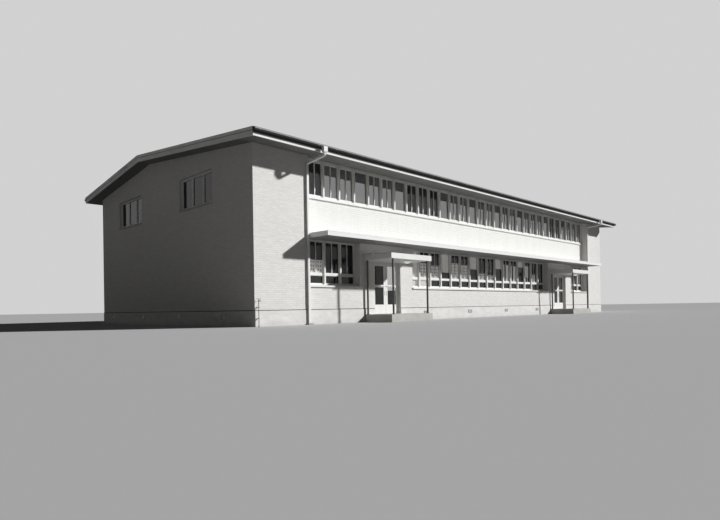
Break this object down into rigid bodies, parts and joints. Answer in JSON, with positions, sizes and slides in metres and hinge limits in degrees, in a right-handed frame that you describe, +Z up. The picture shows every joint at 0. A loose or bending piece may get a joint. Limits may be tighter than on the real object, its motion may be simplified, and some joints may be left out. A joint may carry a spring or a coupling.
{
  "type": "two-storey school building",
  "caption": "Long two-storey brick school block with continuous window bands, a flat awning between the storeys, two small porches with double doors and a low gabled roof.",
  "frame": {"origin": "on the ground under the middle of the building's overall box", "axes": "+X along the front to the right, +Y from the front to the rear, +Z up"},
  "size_m": [33.8, 18.405, 8.2001],
  "materials": {
    "brick": "matt",
    "render": "matt",
    "concrete": "matt",
    "white_paint": "satin paint",
    "glass": "clear",
    "roof_sheet": "satin",
    "gutter_paint": "satin paint",
    "white_metal": "satin paint",
    "steel_paint": "satin paint"
  },
  "bodies": {
    "building": {"plinth_front": "render", "plinth_sides": "render", "plinth_rear": "render", "ground_floor": "concrete", "upper_floor": "concrete", "gable_walls_lower": "brick", "gable_walls_upper": "brick", "end_panels": "brick", "base_walls": "brick", "door_piers": "brick", "door_lintels": "brick", "rear_wall_lower": "brick", "rear_wall_upper": "brick", "brick_wall_frames": "white_paint", "brick_wall_glass": "glass", "brick_wall_sills": "concrete", "lower_window_frames": "white_paint", "lower_window_glass": "glass", "upper_window_frame": "white_paint", "upper_window_glass": "glass", "lower_sills": "white_paint", "upper_sill": "white_paint", "spandrel": "white_paint", "front_wall_plate": "white_paint", "awning": "white_paint", "roof_slope_front": "roof_sheet", "roof_slope_rear": "roof_sheet", "ridge_cap": "roof_sheet", "barge_boards": "white_paint", "fascias": "white_paint", "gutters": "gutter_paint", "rainwater_heads": "white_metal", "downpipes": "white_metal", "porch_canopies": "white_paint", "porch_posts": "steel_paint", "porch_slabs": "concrete", "door_frames": "white_paint"},
    "leaf_1": {"door_leaf_1": "white_paint", "door_glass_1": "glass"},
    "leaf_2": {"door_leaf_2": "white_paint", "door_glass_2": "glass"},
    "leaf_3": {"door_leaf_3": "white_paint", "door_glass_3": "glass"},
    "leaf_4": {"door_leaf_4": "white_paint", "door_glass_4": "glass"}
  },
  "joints": [
    {"name": "door_1_hinge", "type": "hinge", "parent": "building", "child": "leaf_1", "pos_m": [-9.847, -7.4125, 0.35], "axis": [0, 0, -1], "range_deg": [0, 90]},
    {"name": "door_2_hinge", "type": "hinge", "parent": "building", "child": "leaf_2", "pos_m": [-8.153, -7.4125, 0.35], "axis": [0, 0, 1], "range_deg": [0, 90]},
    {"name": "door_3_hinge", "type": "hinge", "parent": "building", "child": "leaf_3", "pos_m": [8.153, -7.4125, 0.35], "axis": [0, 0, -1], "range_deg": [0, 90]},
    {"name": "door_4_hinge", "type": "hinge", "parent": "building", "child": "leaf_4", "pos_m": [9.847, -7.4125, 0.35], "axis": [0, 0, 1], "range_deg": [0, 90]}
  ]
}
